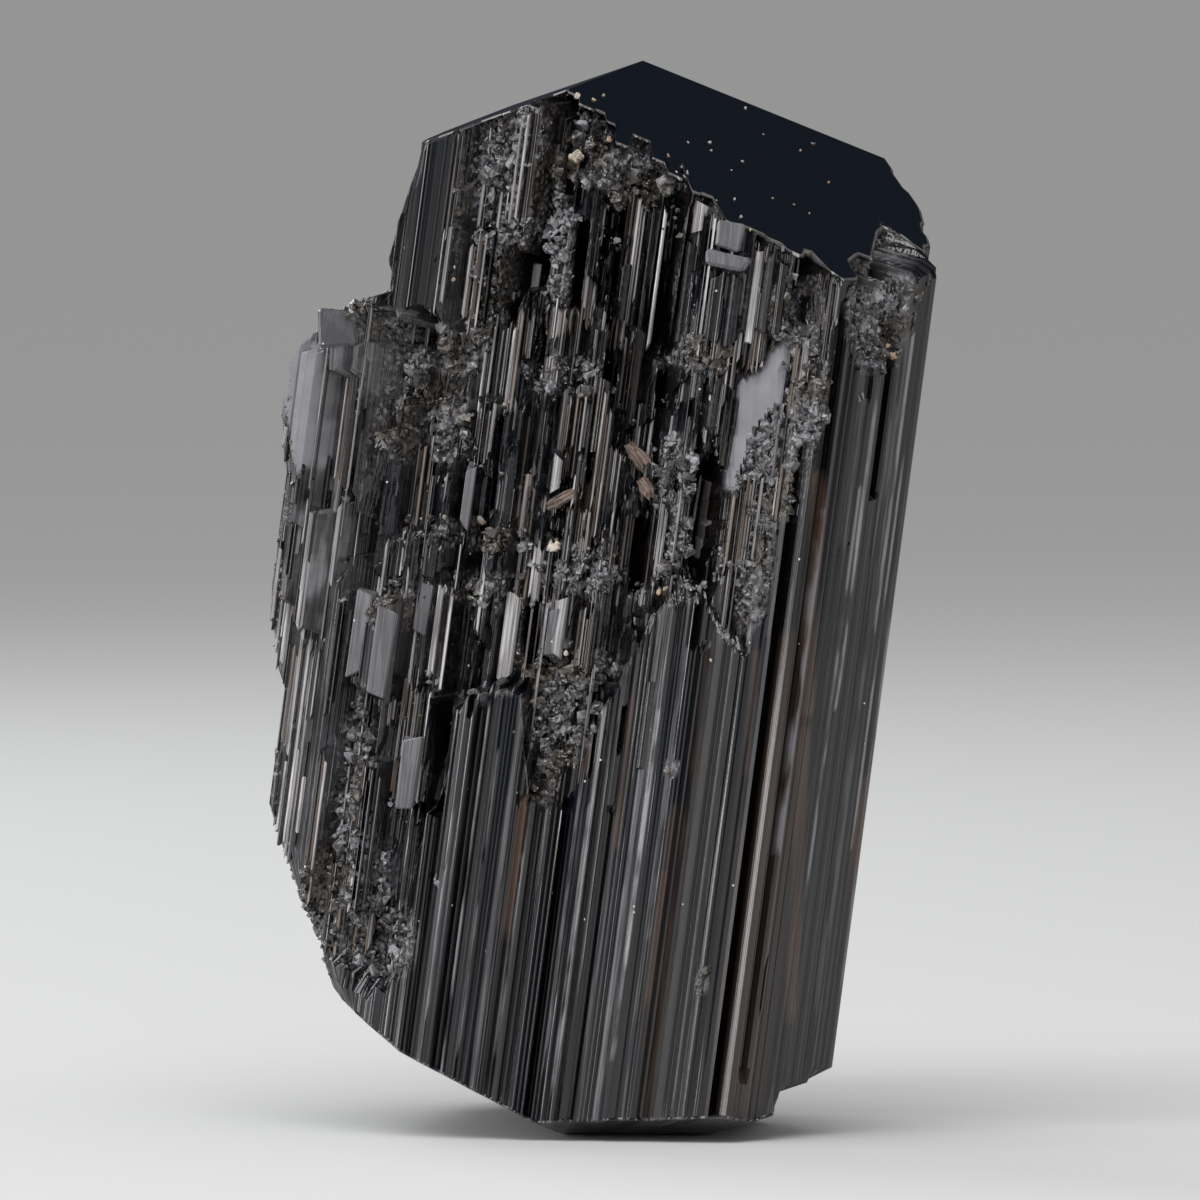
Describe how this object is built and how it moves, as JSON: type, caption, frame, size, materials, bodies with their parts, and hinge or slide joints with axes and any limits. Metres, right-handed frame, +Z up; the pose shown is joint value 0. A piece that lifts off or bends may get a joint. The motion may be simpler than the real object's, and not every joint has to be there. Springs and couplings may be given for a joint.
{
  "type": "black tourmaline crystal",
  "caption": "Stout striated prism of black tourmaline with a low three-faced point, etched front, broken left flank and base, and lodged mica and feldspar.",
  "frame": {"origin": "middle of the bottom of the crystal's bounding box, on the surface it stands on", "axes": "+Z up, +X to the right and +Y away from the viewer of the etched front; the crystal's long axis leans from +Z towards +X"},
  "size_m": [0.037, 0.0326, 0.0595],
  "materials": {
    "tourmaline": "glossy black, striated",
    "mica": "brown, flaky, half gloss",
    "feldspar": "cream, matt"
  },
  "bodies": {
    "root": {"tourmaline_crystal": "tourmaline", "mica_flake_upper": "mica", "mica_flake_lower": "mica", "mica_splinter": "mica", "feldspar_grain_middle": "feldspar", "feldspar_grain_left": "feldspar", "feldspar_grain_top": "feldspar"}
  },
  "joints": []
}
